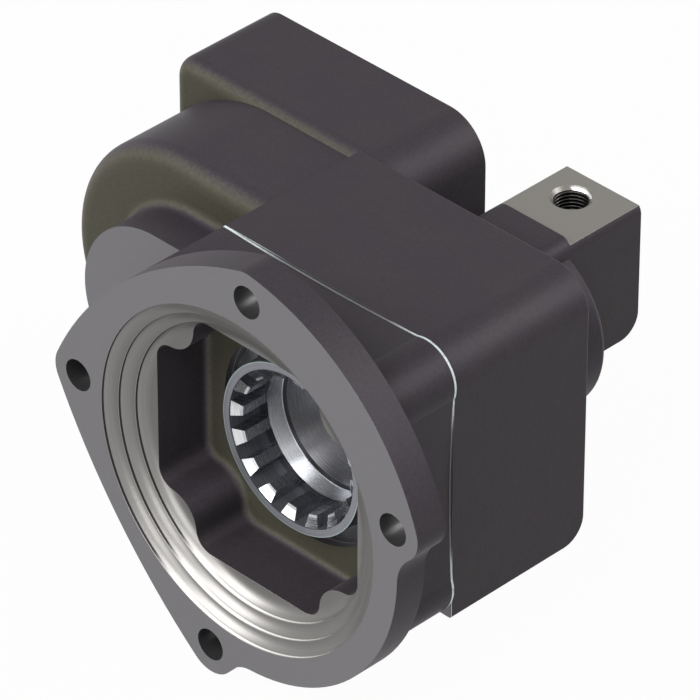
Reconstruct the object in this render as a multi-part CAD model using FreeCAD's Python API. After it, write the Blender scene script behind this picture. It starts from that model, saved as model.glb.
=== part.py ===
# Power take off unit for a vehicle gearbox, in millimetres.
# The origin is the centre of the flange register, in the flange face.
# The input axis runs along Y, the flange faces -Y and +Z is up.
import FreeCAD
import Part
import math
import os
from FreeCAD import Vector

os.makedirs("parts", exist_ok=True)

# Flange that bolts to the gearbox
flange_thickness = 12.0
flange_rim_radius = 70.2
flange_bolt_outset = 0.4
flange_bolt_radius = flange_rim_radius + flange_bolt_outset
flange_bolt_angles = {"right": 14.7, "top": 85.2, "left": 176.0, "bottom": 260.3}
flange_hole_radius = 5.6
flange_lobe_radius = 10.5
nut_room_radius = 10.5
nut_room_depth = 18.0
flange_side_radii = {"right_top": 86.5, "top_left": 136.0, "left_bottom": 232.0}
flange_neck_radii = {"right": 15.0, "bottom": 12.0}

# Stepped register, from the flange face inwards
register_radius = 60.0
register_step_depth = 3.1
register_step_width = 4.4
register_steps = 3
register_edge = 0.15
register_corner = 1.5

# Gears
gear_module = 3.0
input_teeth = 28
output_teeth = 27
gear_front_y = 67.5
gear_width = 16.0
tooth_addendum = 1.0
tooth_dedendum = 1.25
tooth_thinning = 0.16
pressure_angle = math.radians(20)
centre_distance = gear_module * (input_teeth + output_teeth) / 2
output_drop = 2.6
output_axis = (-math.sqrt(centre_distance ** 2 - output_drop ** 2), -output_drop)
input_axis = (0.0, 0.0)
gear_back_y = gear_front_y + gear_width
chamber_gap = 0.8
output_chamber_gap = 0.7
chamber_radius = gear_module * (input_teeth / 2 + tooth_addendum) + chamber_gap
output_bore_radius = gear_module * (output_teeth / 2 + tooth_addendum) + output_chamber_gap

# Square body round the input gear, and the cast cavity behind the register
body_wall = 4.2
body_half = chamber_radius + body_wall
corner_inset = 11.5
body_corner = body_half - corner_inset
cavity_wall = 5.9
cavity_half = body_half - cavity_wall
cavity_front_y = register_steps * register_step_depth
cavity_floor_y = 31.0
cavity_boss_radius = 11.0
cavity_fillet = 6.5
cavity_floor_fillet = 2.8
cover_opening_radius = 36.5

# Joint between the front cover and the main housing
cover_back_y = 44.2
gasket_thickness = 0.6
joint_y = cover_back_y + gasket_thickness
lug_radius = 12.6
lug_spread = 4.0
side_waist = 0.9
left_lug_reach = 16.0
left_lug_step = 6.0
joint_corner = 3.0

# Main box, and the boss that carries the shift cylinder
box_back_y = 105.0
box_corner_radius = 14.0
box_back_fillet = 9.0
box_edge = 1.0
cylinder_boss_radius = 33.0
cylinder_boss_back_y = 132.0
cylinder_boss_edge = 2.4
seam = 2.0

# Air port block
port_block_half = 16.8
port_block_bottom_z = -16.0
port_block_back_y = 164.0
port_pad_z = 32.4
port_pad_front_y = 132.3
port_strip_rise = 2.0
port_strip_edge = 5.0
port_block_edge = 8.0
port_x = -2.5
port_y = 152.0
port_radius = 5.9
port_chamfer_radius = 7.1
port_thread_depth = 13.0
air_way_radius = 3.0

# Output side of the housing
nose_radius = 33.0
nose_wall = 4.2
nose_foot = 3.5
lobe_shift = 7.5
lobe_radius = 50.0
lobe_front_y = 62.0
lobe_edge = 7.6
lobe_overlap = 8.0
gear_clip_room = 1.9
chamber_front_y = gear_front_y - gear_clip_room
block_front_y = 101.0
block_front_edge = 6.0
block_back_y = 143.2
block_half_width = 50.5
block_bottom_z = -55.0
block_top_z = body_half
block_big_corner = 16.0
block_corner = 8.0
pump_pilot_radius = 40.0
pump_pilot_depth = 10.0
pump_hole_spacing = 80.0
pump_hole_radius = 5.1
pump_hole_depth = 22.0

# Bearings: bore radius, outer radius, width, ball radius, ball count
thin_bearing = {"bore": 35.0, "outer": 45.0, "width": 10.0, "ball": 3.0, "count": 18}
rear_bearing = {"bore": 25.0, "outer": 36.0, "width": 12.0, "ball": 3.4, "count": 14}
drive_bearing = {"bore": 25.0, "outer": 40.0, "width": 16.0, "ball": 4.4, "count": 12}
nose_bearing = {"bore": 12.5, "outer": 26.0, "width": 15.0, "ball": 4.0, "count": 9}
shift_bearing = {"bore": 8.5, "outer": 20.0, "width": 12.0, "ball": 3.4, "count": 8}
cover_floor = 3.0
thin_bearing_y = cavity_floor_y + cover_floor
rear_bearing_y = 86.2
drive_bearing_y = 89.2
nose_bearing_y = joint_y + nose_wall
seat_gap = 0.05
ring_play = 0.01
end_play = 0.3
ball_groove_ratio = 1.04
ball_land_ratio = 0.6
cage_width_ratio = 1.35
cage_thickness_ratio = 0.35
cage_pocket_ratio = 1.06

# Clips: how wide and deep their grooves are, and how far a clip stands out of its groove
clip_width = 1.5
clip_depth = 1.3
clip_reach = 2.3
clip_play = 0.05
clip_mouth = 0.3

# Input gear hub
hub_wall_radius = 37.5
hub_counterbore_radius = 30.6
hub_counterbore_depth = 7.0
hub_back_y = rear_bearing_y + rear_bearing["width"]
hub_rear_bore = 15.0
hub_rear_shoulder = 3.0
hub_bore_room = 0.5

# Sliding engagement sleeve
sleeve_front_y = 24.0
sleeve_ring_length = 16.0
sleeve_ring_radius = 30.0
sleeve_back_y = 85.0
dog_count = 16
dog_root_radius = 27.4
dog_tip_radius = 23.6
dog_length = 12.7
dog_front = 0.4
dog_lead = 2.0
dog_sink = 0.3
dog_phase = math.radians(-94.0)
dog_root_half = math.radians(6.6)
dog_tip_half = math.radians(4.4)
sleeve_bore_radius = 22.5
sleeve_bore_y = 44.4
sleeve_stop_radius = 18.4
sleeve_stop_width = 4.0
shift_bearing_y = 70.0
sleeve_travel = 10.0

# Spline between the sleeve and the hub
spline_count = 20
spline_root_radius = 26.1
spline_crest_radius = 27.6
spline_gap = 0.1
spline_root_half = math.radians(5.6)
spline_crest_half = math.radians(3.6)

# Shift cylinder
plate_front_y = 100.6
plate_back_y = 104.5
plate_radius = 26.0
cylinder_radius = 24.0
cylinder_end_y = 127.0
piston_front_y = 115.6
piston_back_y = 126.4
piston_recess_radius = 20.0
piston_recess_y = 121.0
piston_gap = 0.05
piston_edge = 0.6
piston_groove_y = 123.0
piston_bore = 5.0
countersink_radius = 9.0
countersink_depth = 4.0
piston_screw_radius = 2.5
piston_screw_sink = 0.2
piston_screw_reach = 10.0
piston_screw_socket = 2.3
piston_screw_socket_depth = 2.3
rod_radius = 9.0
rod_front_land = 1.9
rod_front_y = shift_bearing_y - clip_width - rod_front_land
rod_edge = 1.0
rod_spigot_length = 1.3
rod_tapped_depth = 12.0
bush_wall = 2.0
bush_gap = 0.05
spring_wire = 1.8
spring_gap = 0.1
spring_turns = 4
spring_points = 6
spring_small_radius = 13.0
spring_large_radius = 18.0
piston_cord = 1.5
plate_cord = 1.1
plate_gap = 0.05
plate_groove_y = 102.6

# Output shaft and the ring that carries its rear bearing
shaft_seat_radius = 22.0
shaft_shoulder_radius = 28.0
shaft_collar_radius = 16.0
shaft_clip_land = 0.9
shaft_back_y = 131.0
shaft_edge = 1.0
key_width = 12.0
key_height = 8.0
key_depth = 4.8
key_gap = 0.02
gear_recess_rim = 7.0
gear_recess_hub = 6.0
gear_recess_depth = 2.5
pump_spline_count = 8
pump_spline_minor = 16.0
pump_spline_major = 18.0
pump_spline_slot = 6.0
pump_spline_front_y = 90.0
pump_spline_lead = 2.6
carrier_front_y = 86.0
carrier_gap = 0.05
carrier_waist_radius = 34.0
carrier_edge = 0.5
carrier_cord = 1.1
carrier_groove_y = 129.9
seal_radius = 36.0
seal_front_y = 120.0
seal_width = 8.0
seal_gap = 0.1
seal_wall = 2.0
o_ring_play = 0.02

# Screws and dowels of the joint
corner_screw = {"shank": 4.0, "head": 6.5, "head_height": 8.0, "hole": 4.4, "socket": 3.4}
side_screw = {"shank": 3.0, "head": 5.0, "head_height": 6.0, "hole": 3.3, "socket": 2.9}
screw_clearance = 0.5
corner_head_y = box_back_y - corner_screw["head_height"]
corner_screw_end_y = 25.0
side_screw_end_y = 30.0
side_screw_offset = (29.0, 23.5)
side_screw_head_y = 59.0
dowel_radius = 3.0
dowel_length = 16.0
dowel_end_gap = 0.5


# Basic solids along Y; a cutter reaches 1 mm past the face it opens
def rod(radius, y0, y1, axis=input_axis):
    return Part.makeCylinder(radius, y1 - y0, Vector(axis[0], y0, axis[1]), Vector(0, 1, 0))


def tube(outer, inner, y0, y1, axis=input_axis):
    return rod(outer, y0, y1, axis).cut(rod(inner, y0 - 1, y1 + 1, axis))


def block(x0, x1, y0, y1, z0, z1):
    return Part.makeBox(x1 - x0, y1 - y0, z1 - z0, Vector(x0, y0, z0))


def turned_edges(edges, axis=input_axis):
    return Part.Face(Part.Wire(edges)).revolve(Vector(axis[0], 0, axis[1]), Vector(0, 1, 0), 360)


def turned(profile, axis=input_axis):
    points = [Vector(axis[0] + r, y, axis[1]) for r, y in profile]
    return turned_edges(Part.makePolygon(points + points[:1]).Edges, axis)


def o_ring(radius, cord, y, axis=input_axis):
    """O-ring whose outside stands at the radius of the piece that carries it."""
    return Part.makeTorus(radius - cord, cord - o_ring_play, Vector(axis[0], y, axis[1]), Vector(0, 1, 0))


def o_ring_groove(radius, cord, y, axis=input_axis):
    return tube(radius + 1, radius - 2 * cord, y - cord, y + cord, axis)


def polar(radius, angle, y=0.0, axis=input_axis):
    return Vector(axis[0] + radius * math.cos(angle), y, axis[1] + radius * math.sin(angle))


def extruded(edges, y0, y1):
    face = Part.Face(Part.Wire(edges))
    face.translate(Vector(0, y0, 0))
    return face.extrude(Vector(0, y1 - y0, 0))


def fused(shapes):
    return shapes[0].fuse(shapes[1:]).removeSplitter()


def arc(start, middle, end):
    return Part.Arc(start, middle, end).toShape()


def line(start, end):
    return Part.LineSegment(start, end).toShape()


def edges_where(shape, test):
    return [edge for edge in shape.Edges if test(edge)]


def along_y(edge):
    direction = edge.Vertexes[-1].Point - edge.Vertexes[0].Point
    return direction.Length > 1 and abs(direction.y) > 0.999 * direction.Length


def at_y(edge, y):
    return abs(edge.CenterOfMass.y - y) < 0.01


def rounded_outline(corners):
    """Edges of a polygon in the XZ plane; a corner is x, z and its radius."""
    points = [Vector(x, 0, z) for x, z, _ in corners]
    cuts = []
    for i, (_, _, radius) in enumerate(corners):
        corner = points[i]
        before = (points[i - 1] - corner).normalize()
        after = (points[(i + 1) % len(points)] - corner).normalize()
        half = before.getAngle(after) / 2
        reach = radius / math.tan(half)
        inward = (before + after).normalize()
        middle = corner + inward * (radius / math.sin(half) - radius)
        cuts.append((corner + before * reach, middle, corner + after * reach))
    edges = []
    for i, (start, middle, end) in enumerate(cuts):
        edges.append(arc(start, middle, end))
        edges.append(line(end, cuts[(i + 1) % len(cuts)][0]))
    return edges


# Outline of the flange: four lobes joined by long bulged sides and a round rim
def side_between(first, second, radius):
    """Points where a large circle round both lobes touches them, and its middle."""
    half = (second - first).Length / 2
    middle = (first + second) / 2
    outward = Vector(middle).normalize()
    across = (second - first).normalize()
    outward = (outward - across * outward.dot(across)).normalize()
    centre = middle - outward * math.sqrt((radius - flange_lobe_radius) ** 2 - half ** 2)
    start = centre + (first - centre).normalize() * radius
    end = centre + (second - centre).normalize() * radius
    return start, centre + outward * radius, end


def neck_beside(lobe, radius, side):
    """Points where a hollow corner touches a lobe and the round rim."""
    reach_lobe = flange_lobe_radius + radius
    reach_rim = flange_rim_radius + radius
    distance = lobe.Length
    along = (reach_rim ** 2 - reach_lobe ** 2 + distance ** 2) / (2 * distance)
    aside = math.sqrt(reach_rim ** 2 - along ** 2) * side
    outward = Vector(lobe).normalize()
    centre = outward * along + Vector(-outward.z, 0, outward.x) * aside
    on_lobe = lobe + (centre - lobe).normalize() * flange_lobe_radius
    on_rim = Vector(centre).normalize() * flange_rim_radius
    chord = (on_lobe + on_rim) / 2
    middle = centre + (chord - centre).normalize() * radius
    return on_lobe, middle, on_rim


def lobe_arc(lobe, start, end):
    middle = lobe + Vector(lobe).normalize() * flange_lobe_radius
    return arc(start, middle, end)


def flange_outline():
    lobes = {name: polar(flange_bolt_radius, math.radians(angle))
             for name, angle in flange_bolt_angles.items()}
    right_top = side_between(lobes["right"], lobes["top"], flange_side_radii["right_top"])
    top_left = side_between(lobes["top"], lobes["left"], flange_side_radii["top_left"])
    left_bottom = side_between(lobes["left"], lobes["bottom"], flange_side_radii["left_bottom"])
    bottom_neck = neck_beside(lobes["bottom"], flange_neck_radii["bottom"], 1)
    right_neck = neck_beside(lobes["right"], flange_neck_radii["right"], -1)
    rim_middle = (bottom_neck[2] + right_neck[2]).normalize() * flange_rim_radius
    return [
        arc(*right_top),
        lobe_arc(lobes["top"], right_top[2], top_left[0]),
        arc(*top_left),
        lobe_arc(lobes["left"], top_left[2], left_bottom[0]),
        arc(*left_bottom),
        lobe_arc(lobes["bottom"], left_bottom[2], bottom_neck[0]),
        arc(*bottom_neck),
        arc(bottom_neck[2], rim_middle, right_neck[2]),
        arc(right_neck[2], right_neck[1], right_neck[0]),
        lobe_arc(lobes["right"], right_neck[0], right_top[0]),
    ]


def flange_bolt_places():
    return [polar(flange_bolt_radius, math.radians(angle)) for angle in flange_bolt_angles.values()]


# Outline of the joint: a square with round lugs on the right and wide lugs on the left
def joint_outline():
    half = body_half
    centre = body_corner
    waist = half - side_waist
    bulge = centre + lug_radius * math.sin(math.pi / 4)
    top_start = Vector(-half + joint_corner, 0, half)
    lug_top = Vector(centre - lug_spread, 0, centre + math.sqrt(lug_radius ** 2 - lug_spread ** 2))
    lug_side = Vector(lug_top.z, 0, lug_top.x)
    low_side = Vector(lug_side.x, 0, -lug_side.z)
    low_end = Vector(lug_top.x, 0, -lug_top.z)
    bottom_end = Vector(-half + left_lug_step, 0, -half)
    left = -half - left_lug_reach
    upper = Vector(left, 0, half - left_lug_reach)
    lower = Vector(left, 0, left_lug_reach + left_lug_step - half)
    corner = Vector(-half, 0, half)
    return [
        arc(top_start, Vector((top_start.x + lug_top.x) / 2, 0, waist), lug_top),
        arc(lug_top, Vector(bulge, 0, bulge), lug_side),
        arc(lug_side, Vector(waist, 0, 0), low_side),
        arc(low_side, Vector(bulge, 0, -bulge), low_end),
        arc(low_end, Vector((bottom_end.x + low_end.x) / 2, 0, -waist), bottom_end),
        line(bottom_end, lower),
        line(lower, upper),
        line(upper, corner),
        line(corner, top_start),
    ]


# Front cover: flange, register and cavity in one casting
def front_cover():
    flange = extruded(flange_outline(), 0, flange_thickness)
    body = extruded(joint_outline(), flange_thickness - 1, cover_back_y)
    casting = fused([flange, body])
    cutters = [register_hollow(), cavity(), rod(cover_opening_radius, cavity_floor_y - 1, cover_back_y)]
    cutters.append(rod(thin_bearing["outer"] + seat_gap, thin_bearing_y, cover_back_y + 1))
    for place in flange_bolt_places():
        centre = (place.x, place.z)
        cutters.append(rod(flange_hole_radius, -1, flange_thickness + 1, centre))
        cutters.append(rod(nut_room_radius, flange_thickness, flange_thickness + nut_room_depth, centre))
    for place in corner_screw_places():
        cutters.append(rod(corner_screw["shank"] + seat_gap, corner_screw_end_y - 1, joint_y, place))
    for place in side_screw_places():
        cutters.append(rod(side_screw["shank"] + seat_gap, side_screw_end_y - 1, joint_y, place))
    for place in dowel_places():
        cutters.append(rod(dowel_radius + seat_gap, joint_y - dowel_length / 2, joint_y, place))
    return casting.cut(cutters).removeSplitter()


def register_hollow():
    """Stepped hollow with a radius in the inner corner of each step."""
    edges = []
    last = Vector(register_radius + register_edge, -1, 0)
    edges.append(line(Vector(0, -1, 0), last))
    for i in range(register_steps):
        radius = register_radius - i * register_step_width
        front = i * register_step_depth
        depth = front + register_step_depth
        lip = Vector(radius + register_edge, front, 0)
        wall = Vector(radius, front + register_edge, 0)
        foot = Vector(radius, depth - register_corner, 0)
        centre = Vector(radius - register_corner, depth - register_corner, 0)
        middle = centre + Vector(1, 1, 0).normalize() * register_corner
        tread = Vector(radius - register_corner, depth, 0)
        edges += [line(last, lip), line(lip, wall), line(wall, foot), arc(foot, middle, tread)]
        last = tread
    centre = Vector(0, last.y, 0)
    edges += [line(last, centre), line(centre, Vector(0, -1, 0))]
    return turned_edges(edges)


def cavity():
    half = cavity_half
    hollow = block(-half, half, cavity_front_y, cavity_floor_y, -half, half)
    signs = [(sx, sz) for sx in (-1, 1) for sz in (-1, 1)]
    front = cavity_front_y - 1
    back = cavity_floor_y + 1
    bosses = [rod(cavity_boss_radius, front, back, (sx * body_corner, sz * body_corner)) for sx, sz in signs]
    inner = body_corner
    outer = body_half
    corners = [block(min(sx * inner, sx * outer), max(sx * inner, sx * outer), front, back,
                     min(sz * inner, sz * outer), max(sz * inner, sz * outer)) for sx, sz in signs]
    hollow = hollow.cut(bosses + corners).removeSplitter()
    hollow = hollow.makeFillet(cavity_fillet, edges_where(hollow, along_y))
    floor = edges_where(hollow, lambda edge: at_y(edge, cavity_floor_y))
    return hollow.makeFillet(cavity_floor_fillet, floor)


# Main housing: one casting with the box, the lobe, the pump block and the cylinder
def box_casting():
    half = body_half
    box = block(-half, half, joint_y, box_back_y, -half, half)
    corner = edges_where(box, lambda edge: along_y(edge) and edge.CenterOfMass.x > 0 and edge.CenterOfMass.z > 0)
    box = box.makeFillet(box_corner_radius, corner)
    low_edge = edges_where(box, lambda edge: at_y(edge, box_back_y) and edge.CenterOfMass.z < 0.01 - half)
    box = box.makeFillet(box_back_fillet, low_edge)
    high_edge = edges_where(box, lambda edge: at_y(edge, box_back_y) and edge.CenterOfMass.z > half - 0.01)
    return box.makeFillet(box_edge, high_edge)


def output_casting():
    """Nose with its web, and the lobe behind it that houses the output gear."""
    x, z = output_axis
    inner = -body_half + lobe_overlap
    back = lobe_front_y + lobe_edge
    nose = rod(nose_radius, joint_y, back, output_axis)
    web = block(x, inner, joint_y, back, z - nose_radius, z + nose_radius)
    casting = fused([nose, web, lobe_casting()])
    foot = edges_where(casting, lambda edge: at_y(edge, lobe_front_y) and edge.CenterOfMass.x < inner - 1
                       and abs(edge.CenterOfMass.z - z) < nose_radius + 1)
    return casting.makeFillet(nose_foot, foot)


def lobe_casting():
    z = output_axis[1]
    x = output_axis[0] - lobe_shift
    inner = -body_half + lobe_overlap
    top = z + lobe_radius
    bottom = z - lobe_radius
    edges = [
        line(Vector(inner, 0, top), Vector(x, 0, top)),
        arc(Vector(x, 0, top), Vector(x - lobe_radius, 0, z), Vector(x, 0, bottom)),
        line(Vector(x, 0, bottom), Vector(inner, 0, bottom)),
        line(Vector(inner, 0, bottom), Vector(inner, 0, top)),
    ]
    lobe = extruded(edges, lobe_front_y, block_front_y + block_front_edge)
    front = edges_where(lobe, lambda edge: at_y(edge, lobe_front_y) and edge.CenterOfMass.x < inner - 1)
    return lobe.makeFillet(lobe_edge, front)


def pump_block():
    x = output_axis[0]
    left = x - block_half_width
    right = x + block_half_width
    corners = [(left, block_top_z, block_corner), (right, block_top_z, block_big_corner),
               (right, block_bottom_z, block_corner), (left, block_bottom_z, block_corner)]
    solid = extruded(rounded_outline(corners), block_front_y, block_back_y)
    front = edges_where(solid, lambda edge: at_y(edge, block_front_y))
    return solid.makeFillet(block_front_edge, front)


def cylinder_casting():
    front = box_back_y - seam
    boss = rod(cylinder_boss_radius, front, cylinder_boss_back_y)
    rim = edges_where(boss, lambda edge: at_y(edge, cylinder_boss_back_y))
    boss = boss.makeFillet(cylinder_boss_edge, rim)
    top = port_pad_z + port_strip_rise
    half = port_block_half
    port = block(-half, half, front, port_block_back_y, port_block_bottom_z, top)
    low = edges_where(port, lambda edge: at_y(edge, port_block_back_y)
                      and edge.CenterOfMass.z < port_block_bottom_z + 0.01)
    port = port.makeFillet(port_block_edge, low)
    high = edges_where(port, lambda edge: along_y(edge) and edge.CenterOfMass.z > top - 0.01)
    port = port.makeFillet(port_strip_edge, high)
    pad = block(-half - 1, half + 1, port_pad_front_y, port_block_back_y + 1, port_pad_z, top + 1)
    return fused([boss, port.cut(pad)])


def left_lug():
    """The part of the joint's outline that stands out beside the box on the left."""
    back = lobe_front_y + seam
    outline = extruded(joint_outline(), joint_y, back)
    wide = 2 * body_half
    return outline.common(block(-wide, -body_corner, joint_y, back, -wide, wide))


def main_housing():
    casting = fused([box_casting(), left_lug(), output_casting(), pump_block(), cylinder_casting()])
    cutters = [
        rod(chamber_radius, joint_y - 1, rear_bearing_y),
        rod(rear_bearing["outer"] + seat_gap, rear_bearing_y - 1, hub_back_y + end_play),
        rod(plate_radius, hub_back_y, plate_back_y),
        rod(cylinder_radius, plate_back_y - 1, cylinder_end_y),
        rod(nose_bearing["outer"] + seat_gap, nose_bearing_y, chamber_front_y + 1, output_axis),
        rod(output_bore_radius, chamber_front_y, block_back_y + 1, output_axis),
        bore_clip_groove(plate_radius, plate_front_y - clip_width),
        rod(air_way_radius, cylinder_end_y - 1, port_y + air_way_radius, (port_x, 0)),
        upright(air_way_radius, 0, port_pad_z, port_x, port_y),
        upright(port_radius, port_pad_z - port_thread_depth, port_pad_z + 1, port_x, port_y),
        port_chamfer(),
    ]
    for place in corner_screw_places():
        cutters.append(rod(corner_screw["hole"], joint_y - 1, box_back_y + 1, place))
        cutters.append(rod(corner_screw["head"] + screw_clearance, corner_head_y, box_back_y + 1, place))
    for place in side_screw_places():
        cutters.append(rod(side_screw["hole"], joint_y - 1, chamber_front_y + 1, place))
        cutters.append(rod(side_screw["head"] + screw_clearance, side_screw_head_y, chamber_front_y + 1, place))
    for place in dowel_places():
        cutters.append(rod(dowel_radius + seat_gap, joint_y - 1, joint_y + dowel_length / 2, place))
    for place in pump_hole_places():
        cutters.append(rod(pump_hole_radius, block_back_y - pump_hole_depth, block_back_y + 1, place))
    return casting.cut(cutters).removeSplitter()


def upright(radius, z0, z1, x, y):
    return Part.makeCylinder(radius, z1 - z0, Vector(x, y, z0))


def port_chamfer():
    rise = port_chamfer_radius - port_radius
    return Part.makeCone(port_radius, port_chamfer_radius, rise, Vector(port_x, port_y, port_pad_z - rise))


def corner_screw_places():
    return [(body_corner, body_corner), (body_corner, -body_corner)]


def side_screw_places():
    dx, dz = side_screw_offset
    return [(output_axis[0] + dx, output_axis[1] + dz), (output_axis[0] + dx, output_axis[1] - dz)]


def dowel_places():
    return [(-body_corner, body_corner), (-body_corner, -body_corner)]


def pump_hole_places():
    half = pump_hole_spacing / 2
    x, z = output_axis
    return [(x + sx * half, z + sz * half) for sx in (-1, 1) for sz in (-1, 1)]


# Gasket between the castings
def joint_gasket():
    sheet = extruded(joint_outline(), cover_back_y, joint_y)
    cutters = [rod(chamber_radius, cover_back_y - 1, joint_y + 1)]
    for place in corner_screw_places():
        cutters.append(rod(corner_screw["hole"], cover_back_y - 1, joint_y + 1, place))
    for place in side_screw_places():
        cutters.append(rod(side_screw["hole"], cover_back_y - 1, joint_y + 1, place))
    for place in dowel_places():
        cutters.append(rod(dowel_radius + seat_gap, cover_back_y - 1, joint_y + 1, place))
    return sheet.cut(cutters)


# Screws and dowels
def cap_screw(size, head_y, end_y, place):
    head = rod(size["head"], head_y, head_y + size["head_height"], place)
    shank = rod(size["shank"], end_y, head_y + 1, place)
    reach = size["socket"]
    points = [polar(reach, math.radians(60 * k), head_y + size["head_height"] / 2, place) for k in range(6)]
    socket = Part.Face(Part.makePolygon(points + points[:1])).extrude(Vector(0, size["head_height"], 0))
    return fused([head, shank]).cut(socket)


def corner_screws():
    return [cap_screw(corner_screw, corner_head_y, corner_screw_end_y, place)
            for place in corner_screw_places()]


def side_screws():
    return [cap_screw(side_screw, side_screw_head_y, side_screw_end_y, place)
            for place in side_screw_places()]


def dowel_pins():
    half = dowel_length / 2 - dowel_end_gap
    return [rod(dowel_radius, joint_y - half, joint_y + half, place) for place in dowel_places()]


# Ball bearings
def groove_profile(land, rim, y0, width, pitch, ball, axis):
    """Ring between a land and a rim radius with a ball groove in its land."""
    middle = y0 + width / 2
    groove = ball * ball_groove_ratio
    reach = abs(land - pitch)
    half = math.sqrt(groove ** 2 - reach ** 2)
    side = 1 if land > pitch else -1
    x, z = axis
    start = Vector(x + land, middle - half, z)
    end = Vector(x + land, middle + half, z)
    deep = Vector(x + pitch + side * groove, middle, z)
    corners = [Vector(x + land, y0 + width, z), Vector(x + rim, y0 + width, z),
               Vector(x + rim, y0, z), Vector(x + land, y0, z)]
    edges = [arc(start, deep, end), line(end, corners[0]), line(corners[0], corners[1]),
             line(corners[1], corners[2]), line(corners[2], corners[3]), line(corners[3], start)]
    return turned_edges(edges, axis)


def ball_places(size, y0, axis):
    pitch = (size["bore"] + size["outer"]) / 2
    count = size["count"]
    return [polar(pitch, 2 * math.pi * k / count, y0 + size["width"] / 2, axis) for k in range(count)]


def bearing(size, y0, axis):
    pitch = (size["bore"] + size["outer"]) / 2
    ball = size["ball"]
    land = ball * ball_land_ratio
    outer = groove_profile(pitch + land, size["outer"], y0, size["width"], pitch, ball, axis)
    inner = groove_profile(pitch - land, size["bore"], y0, size["width"], pitch, ball, axis)
    balls = [Part.makeSphere(ball, place) for place in ball_places(size, y0, axis)]
    middle = y0 + size["width"] / 2
    half = ball * cage_width_ratio
    thick = ball * cage_thickness_ratio
    cage = tube(pitch + thick, pitch - thick, middle - half, middle + half, axis)
    centre = Vector(axis[0], middle, axis[1])
    pockets = [Part.makeCylinder(ball * cage_pocket_ratio, pitch + ball, centre, place - centre)
               for place in ball_places(size, y0, axis)]
    return {"outer_ring": outer, "inner_ring": inner, "balls": balls, "cage": cage.cut(pockets)}


# Gears with involute teeth
def involute(angle):
    return math.tan(angle) - angle


def gear_outline(teeth, axis, phase):
    pitch = gear_module * teeth / 2
    base = pitch * math.cos(pressure_angle)
    tip = pitch + gear_module * tooth_addendum
    root = pitch - gear_module * tooth_dedendum
    at_pitch = math.pi / (2 * teeth) - tooth_thinning / (2 * pitch) + involute(pressure_angle)

    def half_angle(radius):
        return at_pitch - involute(math.acos(min(1.0, base / radius)))

    edges = []
    for k in range(teeth):
        centre = phase + 2 * math.pi * k / teeth
        following = phase + 2 * math.pi * (k + 1) / teeth

        def place(radius, sign):
            return polar(radius, centre + sign * half_angle(radius), 0, axis)

        foot = half_angle(base)
        low = polar(root, centre - foot, 0, axis)
        high = polar(root, centre + foot, 0, axis)
        edges.append(line(low, place(base, -1)))
        edges.append(arc(place(base, -1), place(pitch, -1), place(tip, -1)))
        edges.append(arc(place(tip, -1), polar(tip, centre, 0, axis), place(tip, 1)))
        edges.append(arc(place(tip, 1), place(pitch, 1), place(base, 1)))
        edges.append(line(place(base, 1), high))
        gap = (centre + foot + following - foot) / 2
        edges.append(arc(high, polar(root, gap, 0, axis), polar(root, following - foot, 0, axis)))
    return edges


def mesh_direction():
    return math.atan2(output_axis[1], output_axis[0])


def toothed_ring(count, low_radius, high_radius, low_half, high_half, first=-math.pi / 2):
    """Outline with straight-sided teeth between two radii; low_half is at low_radius."""
    edges = []
    for k in range(count):
        centre = first + 2 * math.pi * k / count
        following = centre + 2 * math.pi / count
        a = polar(low_radius, centre - low_half)
        b = polar(high_radius, centre - high_half)
        c = polar(high_radius, centre + high_half)
        d = polar(low_radius, centre + low_half)
        edges.append(line(a, b))
        edges.append(arc(b, polar(high_radius, centre), c))
        edges.append(line(c, d))
        middle = polar(low_radius, (centre + following) / 2)
        edges.append(arc(d, middle, polar(low_radius, following - low_half)))
    return edges


# Input gear with its long hub; the sleeve slides in its splined bore
def input_gear():
    teeth = extruded(gear_outline(input_teeth, input_axis, mesh_direction()), gear_front_y, gear_back_y)
    bearing_back = thin_bearing_y + thin_bearing["width"]
    hub = turned([
        (0, thin_bearing_y), (thin_bearing["bore"], thin_bearing_y),
        (thin_bearing["bore"], bearing_back), (hub_wall_radius, bearing_back),
        (hub_wall_radius, gear_back_y), (rear_bearing["bore"] + hub_rear_shoulder, rear_bearing_y),
        (rear_bearing["bore"], rear_bearing_y), (rear_bearing["bore"], hub_back_y),
        (0, hub_back_y)])
    splined = toothed_ring(spline_count, spline_root_radius + spline_gap,
                           spline_crest_radius + spline_gap,
                           spline_root_half + spline_gap / spline_root_radius,
                           spline_crest_half + spline_gap / spline_crest_radius)
    bore = extruded(splined, thin_bearing_y - 1, sleeve_back_y + hub_bore_room)
    mouth = rod(hub_counterbore_radius, thin_bearing_y - 1, thin_bearing_y + hub_counterbore_depth)
    rear = rod(hub_rear_bore, thin_bearing_y, hub_back_y + 1)
    return fused([teeth, hub]).cut([bore, mouth, rear]).removeSplitter()


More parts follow.
